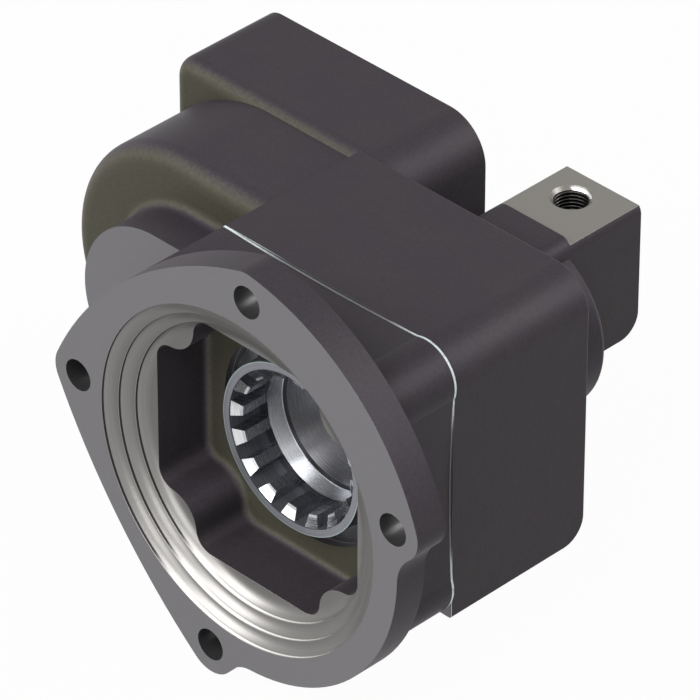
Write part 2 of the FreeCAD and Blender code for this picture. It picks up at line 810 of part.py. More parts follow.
# Engagement sleeve with internal dog teeth in its front ring
def engagement_sleeve():
    ring_back = sleeve_front_y + sleeve_ring_length
    ring = rod(sleeve_ring_radius, sleeve_front_y, ring_back)
    splines = toothed_ring(spline_count, spline_root_radius, spline_crest_radius,
                           spline_root_half, spline_crest_half)
    tail = extruded(splines, ring_back - 1, sleeve_back_y)
    land_y = sleeve_front_y + dog_front + dog_length
    stop_y = shift_bearing_y - sleeve_stop_width
    seat = shift_bearing["outer"] + ring_play
    hollow = turned([
        (0, sleeve_front_y - 1), (dog_root_radius, sleeve_front_y - 1), (dog_root_radius, land_y),
        (dog_tip_radius, land_y), (dog_tip_radius, sleeve_bore_y - dog_tip_radius + sleeve_bore_radius),
        (sleeve_bore_radius, sleeve_bore_y), (sleeve_bore_radius, stop_y), (sleeve_stop_radius, stop_y),
        (sleeve_stop_radius, shift_bearing_y), (seat, shift_bearing_y), (seat, sleeve_back_y + 1),
        (0, sleeve_back_y + 1)])
    groove = bore_clip_groove(seat, shift_bearing_y + shift_bearing["width"])
    body = fused([ring, tail]).cut([hollow, groove])
    return fused([body, dog_teeth()])


def dog_teeth():
    """Sixteen trapezoid teeth whose fronts are cut back to a lead-in cone."""
    y0 = sleeve_front_y + dog_front
    y1 = y0 + dog_length
    outer = dog_root_radius + dog_sink
    half_pitch = math.pi / dog_count
    pockets = toothed_ring(dog_count, dog_tip_radius, outer + dog_sink, half_pitch - dog_tip_half,
                           half_pitch - dog_root_half, dog_phase + half_pitch)
    teeth = rod(outer, y0, y1).cut(extruded(pockets, y0 - 1, y1 + 1))
    lead = Part.makeCone(outer, dog_tip_radius, dog_lead, Vector(0, y0, 0), Vector(0, 1, 0))
    return teeth.cut([lead, rod(dog_tip_radius, y0 - 1, y1 + 1)])


# Shift cylinder pieces
def piston():
    radius = cylinder_radius - piston_gap
    front = piston_front_y
    back = piston_back_y
    body = turned([
        (piston_bore, piston_recess_y), (piston_recess_radius, piston_recess_y),
        (piston_recess_radius, front), (radius - piston_edge, front), (radius, front + piston_edge),
        (radius, back - piston_edge), (radius - piston_edge, back), (countersink_radius, back),
        (piston_bore, back - countersink_depth)])
    return body.cut(o_ring_groove(radius, piston_cord, piston_groove_y))


def piston_o_ring():
    return o_ring(cylinder_radius - piston_gap, piston_cord, piston_groove_y)


def piston_rod():
    seat = shift_bearing["bore"]
    back = shift_bearing_y + shift_bearing["width"]
    spigot = piston_bore - 2 * seat_gap
    spigot_back = piston_recess_y + rod_spigot_length
    body = turned([
        (0, rod_front_y), (seat - rod_edge, rod_front_y), (seat, rod_front_y + rod_edge), (seat, back),
        (rod_radius, back), (rod_radius, piston_recess_y), (spigot, piston_recess_y),
        (spigot, spigot_back), (0, spigot_back)])
    groove = shaft_clip_groove(seat, shift_bearing_y - clip_width)
    tapped = rod(piston_screw_radius, piston_recess_y - rod_tapped_depth, spigot_back + 1)
    return body.cut([groove, tapped])


def piston_screw():
    front = piston_back_y - countersink_depth
    back = piston_back_y - piston_screw_sink
    slope = (countersink_radius - piston_bore) / countersink_depth
    wide = countersink_radius - piston_screw_sink * slope - seat_gap
    head = turned([(0, front), (piston_bore - seat_gap, front), (wide, back), (0, back)])
    shank = rod(piston_screw_radius, piston_recess_y - piston_screw_reach, front + seat_gap)
    socket_y = back - piston_screw_socket_depth
    points = [polar(piston_screw_socket, math.radians(60 * k), socket_y) for k in range(6)]
    socket = Part.Face(Part.makePolygon(points + points[:1])).extrude(Vector(0, countersink_depth, 0))
    return fused([head, shank]).cut(socket)


def rod_guide_plate():
    inner = rod_radius + bush_gap + bush_wall
    plate = tube(plate_radius - plate_gap, inner, plate_front_y, plate_back_y)
    return plate.cut(o_ring_groove(plate_radius - plate_gap, plate_cord, plate_groove_y))


def guide_plate_o_ring():
    return o_ring(plate_radius - plate_gap, plate_cord, plate_groove_y)


def guide_bush():
    inner = rod_radius + bush_gap
    return tube(inner + bush_wall, inner, plate_front_y, plate_back_y)


# Clips; y0 is the front of the groove
def bore_clip_groove(radius, y0, axis=input_axis):
    return tube(radius + clip_depth, radius - 1, y0, y0 + clip_width, axis)


def shaft_clip_groove(radius, y0, axis=input_axis):
    return tube(radius + 1, radius - clip_depth, y0, y0 + clip_width, axis)


def bore_clip(radius, y0, axis=input_axis):
    return split_ring(radius + clip_depth - clip_play, radius - clip_reach, y0, axis)


def shaft_clip(radius, y0, axis=input_axis):
    return split_ring(radius + clip_reach, radius - clip_depth + clip_play, y0, axis)


def split_ring(outer, inner, y0, axis):
    front = y0 + clip_play
    back = y0 + clip_width - clip_play
    ring = tube(outer, inner, front, back, axis)
    reach = 2 * outer
    points = [Vector(axis[0], front - 1, axis[1]),
              polar(reach, math.pi / 2 - clip_mouth, front - 1, axis),
              polar(reach, math.pi / 2 + clip_mouth, front - 1, axis)]
    mouth = Part.Face(Part.makePolygon(points + points[:1])).extrude(Vector(0, clip_width + 1, 0))
    return ring.cut(mouth)


def guide_plate_clip():
    return bore_clip(plate_radius, plate_front_y - clip_width)


def sleeve_clip():
    return bore_clip(shift_bearing["outer"] + ring_play, shift_bearing_y + shift_bearing["width"])


def rod_clip():
    return shaft_clip(shift_bearing["bore"], shift_bearing_y - clip_width)


def return_spring():
    """Conical spring of square wire round the rod, with its wide end in the piston."""
    y0 = plate_back_y + spring_wire / 2 + spring_gap
    y1 = piston_recess_y - spring_wire / 2 - spring_gap
    count = spring_turns * spring_points
    points = []
    for i in range(count + 1):
        share = i / count
        radius = spring_small_radius + (spring_large_radius - spring_small_radius) * share
        points.append(polar(radius, 2 * math.pi * spring_turns * share, y0 + (y1 - y0) * share))
    curve = Part.BSplineCurve()
    curve.interpolate(points)
    along = curve.tangent(0)[0]
    outward = Vector(points[0].x, 0, points[0].z).normalize()
    outward = (outward - along * outward.dot(along)).normalize()
    upward = along.cross(outward)
    half = spring_wire / 2
    corners = [points[0] + outward * half * a + upward * half * b for a, b in ((1, 1), (-1, 1), (-1, -1), (1, -1))]
    section = Part.makePolygon(corners + corners[:1])
    return Part.Wire(curve.toShape()).makePipeShell([section], True, True)


# Output shaft group
def output_shaft():
    front = nose_bearing_y + end_play
    nose_seat = nose_bearing["bore"]
    nose_back = nose_bearing_y + nose_bearing["width"] + end_play
    rear_seat = drive_bearing["bore"]
    seat_front = gear_front_y - clip_width - shaft_clip_land
    profile = [
        (0, front), (nose_seat - shaft_edge, front), (nose_seat, front + shaft_edge),
        (nose_seat, nose_back), (shaft_collar_radius, nose_back), (shaft_collar_radius, seat_front),
        (shaft_seat_radius, seat_front), (shaft_seat_radius, gear_back_y),
        (shaft_shoulder_radius, gear_back_y), (shaft_shoulder_radius, drive_bearing_y),
        (rear_seat, drive_bearing_y), (rear_seat, shaft_back_y - shaft_edge),
        (rear_seat - shaft_edge, shaft_back_y), (0, shaft_back_y)]
    shaft = turned(profile, output_axis)
    slots = [rod(pump_spline_minor, pump_spline_front_y, shaft_back_y + 1, output_axis)]
    half = pump_spline_slot / 2
    for k in range(pump_spline_count):
        slot = block(-half, half, pump_spline_front_y, shaft_back_y + 1, 0, pump_spline_major)
        slot.rotate(Vector(0, 0, 0), Vector(0, 1, 0), 360 / pump_spline_count * k)
        slot.translate(Vector(output_axis[0], 0, output_axis[1]))
        slots.append(slot)
    lead = Part.makeCone(pump_spline_minor, pump_spline_minor + pump_spline_lead, pump_spline_lead,
                         Vector(output_axis[0], shaft_back_y - pump_spline_lead, output_axis[1]),
                         Vector(0, 1, 0))
    clip_groove = shaft_clip_groove(shaft_seat_radius, gear_front_y - clip_width, output_axis)
    return shaft.cut(slots + [lead, clip_groove, key_block(0.0)]).removeSplitter()


def key_block(gap):
    x, z = output_axis
    half = key_width / 2 - gap
    low = z + shaft_seat_radius - key_depth
    return block(x - half, x + half, gear_front_y + gap, gear_back_y - gap, low + gap, low + key_height - gap)


def output_gear():
    phase = mesh_direction() + math.pi + math.pi / output_teeth
    teeth = extruded(gear_outline(output_teeth, output_axis, phase), gear_front_y, gear_back_y)
    bore = rod(shaft_seat_radius + ring_play, gear_front_y - 1, gear_back_y + 1, output_axis)
    recess = tube(gear_module * output_teeth / 2 - gear_recess_rim, shaft_seat_radius + gear_recess_hub,
                  gear_front_y - 1, gear_front_y + gear_recess_depth, output_axis)
    return teeth.cut([bore, recess, key_block(0.0)])


def gear_key():
    return key_block(key_gap)


def output_gear_clip():
    return shaft_clip(shaft_seat_radius, gear_front_y - clip_width, output_axis)


def output_carrier():
    outer = output_bore_radius - carrier_gap
    bearing_back = drive_bearing_y + drive_bearing["width"]
    pilot_front = block_back_y - pump_pilot_depth
    seat = drive_bearing["outer"] + ring_play
    profile = [
        (outer, carrier_front_y), (outer, block_back_y), (pump_pilot_radius + carrier_edge, block_back_y),
        (pump_pilot_radius, block_back_y - carrier_edge), (pump_pilot_radius, pilot_front),
        (seal_radius, pilot_front), (seal_radius, seal_front_y), (carrier_waist_radius, seal_front_y),
        (carrier_waist_radius, bearing_back), (seat, bearing_back), (seat, carrier_front_y)]
    body = turned(profile, output_axis)
    ring_groove = o_ring_groove(outer, carrier_cord, carrier_groove_y, output_axis)
    clip_groove = bore_clip_groove(seat, drive_bearing_y - clip_width, output_axis)
    return body.cut([ring_groove, clip_groove])


def carrier_o_ring():
    return o_ring(output_bore_radius - carrier_gap, carrier_cord, carrier_groove_y, output_axis)


def carrier_clip():
    return bore_clip(drive_bearing["outer"] + ring_play, drive_bearing_y - clip_width, output_axis)


def output_seal():
    """Lip seal: a ring with a thin lip that runs on the shaft."""
    shaft = drive_bearing["bore"] + seat_gap
    y0 = seal_front_y + seal_gap
    y1 = y0 + seal_width
    profile = [
        (seal_radius - o_ring_play, y0), (seal_radius - o_ring_play, y1), (shaft + 3, y1), (shaft + 0.9, y1 - 2),
        (shaft, y1 - 4.5), (shaft + 1.6, y0 + 1), (shaft + 4, y0 + 1), (shaft + 4.4, y1 - 2.4),
        (seal_radius - seal_wall, y1 - 2.4), (seal_radius - seal_wall, y0)]
    return turned(profile, output_axis)


def save(name, shape):
    solids = shape if isinstance(shape, list) else [shape]
    body = solids[0] if len(solids) == 1 else Part.makeCompound(solids)
    body.exportStep("parts/" + name + ".step")
    print(name, "solids", len(body.Solids), "valid", body.isValid(), "volume", round(body.Volume))


pieces = {
    "main_housing": main_housing,
    "front_cover": front_cover,
    "joint_gasket": joint_gasket,
    "corner_screws": corner_screws,
    "side_screws": side_screws,
    "dowel_pins": dowel_pins,
    "input_gear": input_gear,
    "engagement_sleeve": engagement_sleeve,
    "sleeve_clip": sleeve_clip,
    "piston": piston,
    "piston_o_ring": piston_o_ring,
    "piston_rod": piston_rod,
    "piston_screw": piston_screw,
    "rod_clip": rod_clip,
    "return_spring": return_spring,
    "rod_guide_plate": rod_guide_plate,
    "guide_plate_o_ring": guide_plate_o_ring,
    "guide_bush": guide_bush,
    "guide_plate_clip": guide_plate_clip,
    "output_shaft": output_shaft,
    "output_gear": output_gear,
    "gear_key": gear_key,
    "output_gear_clip": output_gear_clip,
    "output_carrier": output_carrier,
    "carrier_o_ring": carrier_o_ring,
    "carrier_clip": carrier_clip,
    "output_seal": output_seal,
}
bearings = {
    "input_front": (thin_bearing, thin_bearing_y, input_axis),
    "input_rear": (rear_bearing, rear_bearing_y, input_axis),
    "output_front": (nose_bearing, nose_bearing_y, output_axis),
    "output_rear": (drive_bearing, drive_bearing_y, output_axis),
    "shift": (shift_bearing, shift_bearing_y, input_axis),
}

for name, make in pieces.items():
    save(name, make())
for name, (size, y0, axis) in bearings.items():
    for part, shape in bearing(size, y0, axis).items():
        save(name + "_" + part, shape)
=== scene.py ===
import bpy
import math
from mathutils import Matrix, Vector


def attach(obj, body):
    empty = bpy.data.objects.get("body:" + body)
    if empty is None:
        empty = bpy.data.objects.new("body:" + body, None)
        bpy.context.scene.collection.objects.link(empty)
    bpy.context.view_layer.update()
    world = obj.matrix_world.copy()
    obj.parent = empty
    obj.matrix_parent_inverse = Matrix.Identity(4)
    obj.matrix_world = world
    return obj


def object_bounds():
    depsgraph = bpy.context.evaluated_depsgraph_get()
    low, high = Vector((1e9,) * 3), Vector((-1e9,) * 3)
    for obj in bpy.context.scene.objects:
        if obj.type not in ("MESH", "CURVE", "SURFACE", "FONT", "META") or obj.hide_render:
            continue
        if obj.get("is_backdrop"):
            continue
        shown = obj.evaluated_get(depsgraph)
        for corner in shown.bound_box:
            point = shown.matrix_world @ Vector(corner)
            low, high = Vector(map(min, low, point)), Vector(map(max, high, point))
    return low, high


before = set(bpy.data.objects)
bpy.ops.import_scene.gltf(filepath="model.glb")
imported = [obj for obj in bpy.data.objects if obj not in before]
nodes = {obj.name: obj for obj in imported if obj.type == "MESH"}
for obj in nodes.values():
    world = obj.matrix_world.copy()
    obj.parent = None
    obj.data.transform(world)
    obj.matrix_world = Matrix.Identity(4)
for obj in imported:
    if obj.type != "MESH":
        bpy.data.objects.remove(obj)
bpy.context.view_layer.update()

# The housing is two iron castings in dark grey paint: the front cover with its flange, and the
# main box with the output lobe, the pump block and the air cylinder. The faces that meet other
# things are cut bare, and the paint follows the grain of the sand mould everywhere else.
paint_grey = (0.0435, 0.0375, 0.0450, 1)
paint_warm = (0.056, 0.050, 0.041, 1)
# The olive tint is painted light, given to the faces that look towards the gearbox.
olive_painted_light = (0.059, 0.056, 0.041, 1)
patch_scale, patch_start, patch_end, patch_share = 38.0, 0.42, 0.68, 0.2
painted_light_start, painted_light_end, painted_light_mottle = 0.35, 0.95, 0.5
# The roundings of the castings are painted lighter than the flat faces: a painted highlight.
rounding_highlight, rounding_end = 0.55, 0.76
fleck_start, fleck_end, fleck_dark, fleck_bright = 0.3, 0.75, 0.88, 1.14
paint_roughness, grain_roughness = 0.40, 0.16
grain_height, swell_height, swell_scale = 0.00005, 0.00014, 120.0
bare_iron = (0.165, 0.160, 0.167, 1)
bore_iron = (0.238, 0.231, 0.223, 1)
# The register's lips are painted dark as a shade line and bright low down as a highlight; the same
# dark is painted into the flange holes and the air port as shade.
painted_shade_iron = (0.030, 0.029, 0.028, 1)
lip_painted_highlight = (0.80, 0.79, 0.77, 1)
# Only part of the air port's chamfer is painted this bright: a painted highlight crescent.
chamfer_painted_highlight = (0.75, 0.74, 0.71, 1)
pad_iron = (0.225, 0.215, 0.197, 1)
bare_roughness = 0.34
face_shine, pad_shine = 0.55, 0.5
dull_specular = 0.09
ring_start, ring_end = 0.25, 0.75
cutter_height, cutter_dark, cutter_bright = 0.000012, 0.94, 1.06


def add_node(tree, kind, inputs=None, **settings):
    """A node with its settings; an input is a value or another node's output."""
    made = tree.nodes.new(kind)
    for name, value in settings.items():
        setattr(made, name, value)
    for key, value in (inputs or {}).items():
        if isinstance(value, bpy.types.NodeSocket):
            tree.links.new(value, made.inputs[key])
        else:
            made.inputs[key].default_value = value
    return made


def calc(tree, operation, first, second=0.0, third=0.0):
    """One step of arithmetic."""
    return add_node(tree, "ShaderNodeMath", {0: first, 1: second, 2: third},
                    operation=operation).outputs[0]


def ramp(tree, value, start, end, low=0.0, high=1.0, **settings):
    """Goes from low to high while a value goes from start to end."""
    return add_node(tree, "ShaderNodeMapRange",
                    {"Value": value, "From Min": start, "From Max": end,
                     "To Min": low, "To Max": high}, **settings).outputs[0]


def noise(tree, place, scale, detail, roughness=0.5):
    """Soft noise over a piece, round about 0.5."""
    return add_node(tree, "ShaderNodeTexNoise",
                    {"Vector": place, "Scale": scale, "Detail": detail,
                     "Roughness": roughness}).outputs["Fac"]


def split(tree, vector):
    """A vector's three parts."""
    return add_node(tree, "ShaderNodeSeparateXYZ", {0: vector}).outputs


def scaled(tree, vector, factor):
    """A vector or colour times a number."""
    return add_node(tree, "ShaderNodeVectorMath", {0: vector, 3: factor},
                    operation="SCALE").outputs[0]


def blended(tree, share, low, high):
    """A colour between two others."""
    mix = add_node(tree, "ShaderNodeMix", {0: share, 6: low, 7: high}, data_type="RGBA")
    return mix.outputs[2]


def blended_value(tree, share, low, high):
    """A number between two others."""
    return add_node(tree, "ShaderNodeMix", {0: share, 2: low, 3: high}).outputs[0]


def new_group(name, inputs, outputs):
    """An empty shader node group with named inputs (with their values) and outputs."""
    group = bpy.data.node_groups.new(name, "ShaderNodeTree")
    for label, (kind, value) in inputs.items():
        socket = group.interface.new_socket(label, in_out="INPUT", socket_type=kind)
        socket.default_value = value
    for label, kind in outputs.items():
        group.interface.new_socket(label, in_out="OUTPUT", socket_type=kind)
    start = group.nodes.new("NodeGroupInput")
    end = group.nodes.new("NodeGroupOutput")
    return group, start.outputs, end.inputs


def use_group(tree, group, inputs):
    """The outputs of a group placed in a tree with its own values."""
    return add_node(tree, "ShaderNodeGroup", inputs, node_tree=group).outputs


def squared_reach(tree, across, upward):
    """The square of a distance from an axis."""
    return calc(tree, "MULTIPLY_ADD", across, across, calc(tree, "MULTIPLY", upward, upward))


def casting_skin():
    """Painted sand casting: a fine pebbled grain, a slow swell and patches of thinner paint. The
    faces that look towards the gearbox are tinted greener, which is painted light, and the
    roundings, which face along none of the three axes, are painted lighter as a painted highlight."""
    group, given, out = new_group(
        "casting skin",
        {"Position": ("NodeSocketVector", (0, 0, 0)), "Facing": ("NodeSocketVector", (0, 0, 1)),
         "Paint": ("NodeSocketColor", paint_grey), "Worn": ("NodeSocketColor", paint_warm),
         "Painted Light": ("NodeSocketColor", olive_painted_light), "Rounding Highlight": ("NodeSocketFloat", rounding_highlight),
         "Grain": ("NodeSocketFloat", 900.0)},
        {"Color": "NodeSocketColor", "Roughness": "NodeSocketFloat", "Height": "NodeSocketFloat"})
    grain = noise(group, given["Position"], given["Grain"], 3.0, 0.6)
    patches = noise(group, given["Position"], patch_scale, 4.0, 0.62)
    swell = noise(group, given["Position"], swell_scale, 2.0)
    drift = calc(group, "MULTIPLY", ramp(group, patches, patch_start, patch_end), patch_share)
    colour = blended(group, drift, given["Paint"], given["Worn"])
    # Faces looking towards the gearbox, along -Y, are tinted olive as painted light, broken up by
    # the grain.
    along = split(group, given["Facing"])[1]
    down = calc(group, "MULTIPLY_ADD", grain, painted_light_mottle,
                calc(group, "SUBTRACT", -painted_light_mottle / 2, along))
    painted_light_share = ramp(group, down, painted_light_start, painted_light_end, interpolation_type="SMOOTHSTEP")
    colour = blended(group, painted_light_share, colour, given["Painted Light"])
    # The roundings, facing along none of the three axes, are painted lighter: a painted highlight.
    level = add_node(group, "ShaderNodeVectorMath", {0: given["Facing"]}, operation="ABSOLUTE")
    sides = split(group, level.outputs[0])
    flat = calc(group, "MAXIMUM", calc(group, "MAXIMUM", sides[0], sides[1]), sides[2])
    rounded = ramp(group, flat, 1.0, rounding_end, interpolation_type="SMOOTHSTEP")
    fleck = ramp(group, grain, fleck_start, fleck_end, fleck_dark, fleck_bright)
    painted_highlight_scale = calc(group, "MULTIPLY_ADD", rounded, given["Rounding Highlight"], 1.0)
    shade = scaled(group, colour, calc(group, "MULTIPLY", fleck, painted_highlight_scale))
    group.links.new(shade, out["Color"])
    rough = calc(group, "MULTIPLY_ADD", grain, grain_roughness, paint_roughness)
    group.links.new(rough, out["Roughness"])
    pebbles = calc(group, "MULTIPLY", grain, grain_height)
    group.links.new(calc(group, "MULTIPLY_ADD", swell, swell_height, pebbles), out["Height"])
    return group


def lathe_marks():
    """Fine rings left by a turning tool round an axis along Y, with slightly uneven tone."""
    group, given, out = new_group(
        "lathe marks",
        {"Position": ("NodeSocketVector", (0, 0, 0)), "Axis X": ("NodeSocketFloat", 0.0),
         "Axis Z": ("NodeSocketFloat", 0.0), "Pitch": ("NodeSocketFloat", 0.0003)},
        {"Tone": "NodeSocketFloat", "Height": "NodeSocketFloat", "Radius": "NodeSocketFloat"})
    parts = split(group, given["Position"])
    across = calc(group, "SUBTRACT", parts[0], given["Axis X"])
    upward = calc(group, "SUBTRACT", parts[2], given["Axis Z"])
    radius = calc(group, "SQRT", squared_reach(group, across, upward))
    travel = calc(group, "DIVIDE", calc(group, "ADD", radius, parts[1]), given["Pitch"])
    ring = add_node(group, "ShaderNodeTexNoise", {"W": travel, "Scale": 1.0, "Detail": 2.0},
                    noise_dimensions="1D").outputs["Fac"]
    group.links.new(ring, out["Tone"])
    group.links.new(ring, out["Height"])
    group.links.new(radius, out["Radius"])
    return group


skin_group = casting_skin()
lathe_group = lathe_marks()


def new_material(name):
    """An empty material, its node tree, its shader and the position on the piece."""
    material = bpy.data.materials.new(name)
    material.use_nodes = True
    tree = material.node_tree
    place = tree.nodes.new("ShaderNodeTexCoord").outputs["Object"]
    return material, tree, tree.nodes["Principled BSDF"], place


def facing_of(tree):
    """The direction in which the surface looks, in the piece's own frame."""
    return tree.nodes.new("ShaderNodeTexCoord").outputs["Normal"]


def raise_surface(tree, shader, height, distance, strength):
    """Bump, where a height of 1 stands for the distance, in metres."""
    bump = add_node(tree, "ShaderNodeBump",
                    {"Height": height, "Distance": distance, "Strength": strength})
    tree.links.new(bump.outputs[0], shader.inputs["Normal"])


def over(tree, value, limit):
    """A mask: 1 in its place and 0 outside it, as all the masks below."""
    return calc(tree, "GREATER_THAN", value, limit)


def under(tree, value, limit):
    return calc(tree, "LESS_THAN", value, limit)


def both(tree, first, second):
    return calc(tree, "MULTIPLY", first, second)


def either(tree, masks):
    total = masks[0]
    for mask in masks[1:]:
        total = calc(tree, "MAXIMUM", total, mask)
    return total


def between(tree, value, low, high):
    return both(tree, over(tree, value, low), under(tree, value, high))


def near_axis(tree, parts, place, radius, second=2):
    """The mask of a round hole along Y, or along Z where the second coordinate is Y."""
    across = calc(tree, "SUBTRACT", parts[0], place[0])
    upward = calc(tree, "SUBTRACT", parts[second], place[1])
    return under(tree, squared_reach(tree, across, upward), radius * radius)


def bored(tree, parts, places, bore):
    """The mask of like bores along Y. A bore is its radius, and where it starts and ends."""
    radius, start, end = bore
    rounds = [near_axis(tree, parts, place, radius) for place in places]
    return both(tree, either(tree, rounds), between(tree, parts[1], start, end))


def cast_iron(name, axis, bare_places):
    """Painted casting with bare places: masks of its faces, bores and pad, of lips painted dark as
    shade, and in the register bright below as a highlight, of a chamfer crescent painted bright as
    a highlight, and of a pale joint edge, painted as squeezed-out gasket and as a highlight at the
    corners, and the form of its stepped register where it has one."""
    material, tree, shader, place = new_material(name)
    facing = facing_of(tree)
    skin = use_group(tree, skin_group, {"Position": place, "Facing": facing, "Paint": paint_grey,
                                        "Worn": paint_warm, "Painted Light": olive_painted_light})
    lathe = use_group(tree, lathe_group,
                      {"Position": place, "Axis X": axis[0], "Axis Z": axis[1]})
    masks = bare_places(tree, split(tree, place), split(tree, facing)[1])
    bare = either(tree, [masks["face"], masks["bore"], masks["pad"], masks["chamfer"]])
    metal = blended(tree, masks["bore"], bare_iron, bore_iron)
    metal = blended(tree, masks["pad"], metal, pad_iron)
    lip_shade_and_highlight = painted_shade_iron
    if masks["form"]:
        register, direction, lip_shade_and_highlight, floor_shade_tone = masks["form"]
        metal = blended(tree, register, metal, scaled(tree, metal, floor_shade_tone))
    metal = blended(tree, masks["lip"], metal, lip_shade_and_highlight)
    metal = blended(tree, masks["chamfer"], metal, chamfer_painted_highlight)
    metal = scaled(tree, metal, ramp(tree, lathe["Tone"], ring_start, ring_end, cutter_dark,
                                     cutter_bright))
    colour = blended(tree, bare, skin["Color"], metal)
    colour = blended(tree, masks["squeeze_and_highlight"], colour, squeeze_and_highlight_pale)
    tree.links.new(colour, shader.inputs["Base Color"])
    rough = blended_value(tree, bare, skin["Roughness"], bare_roughness)
    tree.links.new(rough, shader.inputs["Roughness"])
    shine = either(tree, [calc(tree, "MULTIPLY", masks["face"], face_shine), masks["bore"],
                          calc(tree, "MULTIPLY", masks["pad"], pad_shine), masks["chamfer"]])
    tree.links.new(shine, shader.inputs["Metallic"])
    shader.inputs["Specular IOR Level"].default_value = dull_specular
    rings = calc(tree, "MULTIPLY", lathe["Height"], cutter_height)
    raise_surface(tree, shader, blended_value(tree, bare, skin["Height"], rings), 1.0, 1.0)
    if masks["form"]:
        raised = shader.inputs["Normal"].links[0].from_socket
        mix = add_node(tree, "ShaderNodeMix", {0: register, 4: raised, 5: direction},
                       data_type="VECTOR")
        tree.links.new(mix.outputs[1], shader.inputs["Normal"])
    return material


def finish_node(name, material):
    """Give a carried-over piece its material."""
    slots = nodes[name].data.materials
    slots.clear()
    slots.append(material)


# Places on the castings, in metres from the middle of the flange's face, where a bore is its
# radius, and its start and end along Y.
input_axis = (0.0, 0.0)
output_x, output_z = -0.082459, -0.0026
output_axis = (output_x, output_z)
face_depth = 0.00005
face_turn = 0.5
bolt_circle = 0.0706
flange_holes = [(bolt_circle * math.cos(math.radians(angle)),
                 bolt_circle * math.sin(math.radians(angle)))
                for angle in (14.7, 85.2, 176.0, 260.3)]
# Part of the dark lip colour is painted into the flange holes: painted shade.
flange_bore, flange_bore_shade = (0.00575, 0.0, 0.0119), 0.65
register_bore = (0.06016, -0.0002, 0.00935)
bearing_seat = (0.0452, 0.0339, 0.05)
cover_back, housing_front = 0.0442, 0.0448
gear_chamber = (0.0262, 0.0445, 0.1274)
output_bore = (0.0443, 0.0655, 0.1435)
pump_face, pump_side = 0.1432, -0.03
pump_hole_places = [(output_x + sx * 0.04, output_z + sz * 0.04)
                    for sx in (-1, 1) for sz in (-1, 1)]
pump_bore = (0.0053, 0.12, 0.1435)
pad_start, pad_end, pad_half_width, pad_height = 0.1322, 0.17, 0.017, 0.0323
port_x, port_y, port_top, port_bottom = -0.0025, 0.152, 0.0324, 0.018
port_radius = 0.0072
chamfer_depth, chamfer_rim, chamfer_lit = 0.0012, 0.00045, 0.0046

# The register's three steps are each turned with one large radius, so that the floors lean inwards.
register_radius, register_step, register_rise, register_steps = 0.06, 0.0044, 0.0031, 3
radius_slack, rise_slack = 0.0002, 0.0001
lean_at_edge, lean_lost_across, lean_lost_down, least_lean = 1.7, 0.5, 0.75, 0.05
# Each floor of the register is painted darker towards its inner edge: painted shade.
floor_painted_shade = 0.32
# A share of each step's rise is painted as a dark shade line at its lip, and bright towards the
# bottom as a painted highlight.
lip_share = 0.36
highlight_x, highlight_z = 0.42, -0.91
highlight_start, highlight_end, highlight_radius = 0.45, 0.9, 0.061

# The castings' edges at the joint are painted pale at its corners, as squeezed-out gasket and as a
# painted highlight, but not along the output nose.
squeeze_and_highlight_pale = (0.66, 0.72, 0.72, 1)
squeeze_width = 0.00022
corner_start, corner_end = 0.072, 0.086
nose_x = 0.056


def register_form(tree, parts, walls):
    """The lips of the register's steps and their tone, painted dark as shade and painted bright
    towards the bottom as a highlight, then the painted shade that darkens each floor towards its
    inner edge, and the direction of its surface."""
    reach = calc(tree, "SQRT", squared_reach(tree, parts[0], parts[2]))
    steps = calc(tree, "SUBTRACT", register_radius + radius_slack, reach)
    steps = calc(tree, "DIVIDE", steps, register_step)
    number = calc(tree, "MINIMUM", calc(tree, "FLOOR", steps), register_steps - 1)
    across = calc(tree, "SUBTRACT", steps, number)
    down = calc(tree, "DIVIDE", calc(tree, "SUBTRACT", parts[1], rise_slack), register_rise)
    lean = calc(tree, "MULTIPLY_ADD", across, -lean_lost_across, lean_at_edge)
    lean = calc(tree, "MULTIPLY_ADD", calc(tree, "FRACT", down), -lean_lost_down, lean)
    lean = calc(tree, "DIVIDE", calc(tree, "MAXIMUM", lean, least_lean), reach)
    inward = add_node(tree, "ShaderNodeCombineXYZ",
                      {"X": calc(tree, "MULTIPLY", parts[0], -1.0),
                       "Z": calc(tree, "MULTIPLY", parts[2], -1.0)}).outputs[0]
    direction = add_node(tree, "ShaderNodeVectorMath",
                         {0: scaled(tree, inward, lean), 1: (0, -1, 0)}, operation="ADD")
    direction = add_node(tree, "ShaderNodeVectorTransform", {0: direction.outputs[0]},
                         vector_type="NORMAL", convert_from="OBJECT", convert_to="WORLD")
    direction = add_node(tree, "ShaderNodeVectorMath", {0: direction.outputs[0]},
                         operation="NORMALIZE").outputs[0]
    depth = calc(tree, "DIVIDE", calc(tree, "ADD", parts[1], rise_slack), register_rise)
    lip = both(tree, walls, under(tree, calc(tree, "FRACT", depth), lip_share))
    # Towards the bottom the lip line is painted bright instead: a painted highlight.
    low = calc(tree, "MULTIPLY_ADD", parts[0], highlight_x, calc(tree, "MULTIPLY", parts[2], highlight_z))
    highlight_share = ramp(tree, calc(tree, "DIVIDE", low, reach), highlight_start, highlight_end)
    highlight_share = both(tree, highlight_share, under(tree, reach, highlight_radius))
    # Painted shade: each floor darkens towards its inner edge.
    floor_shade_tone = calc(tree, "MULTIPLY_ADD", calc(tree, "MINIMUM", across, 1.0),
                      -floor_painted_shade, 1.0)
    return lip, blended(tree, highlight_share, painted_shade_iron, lip_painted_highlight), floor_shade_tone, direction


def near_corner(tree, parts):
    """Climbs to 1 at the corners of the joint, where its pale edge is painted as a highlight."""
    aside = calc(tree, "ABSOLUTE", parts[0])
    away = calc(tree, "ADD", aside, calc(tree, "ABSOLUTE", parts[2]))
    return both(tree, ramp(tree, away, corner_start, corner_end), under(tree, aside, nose_x))


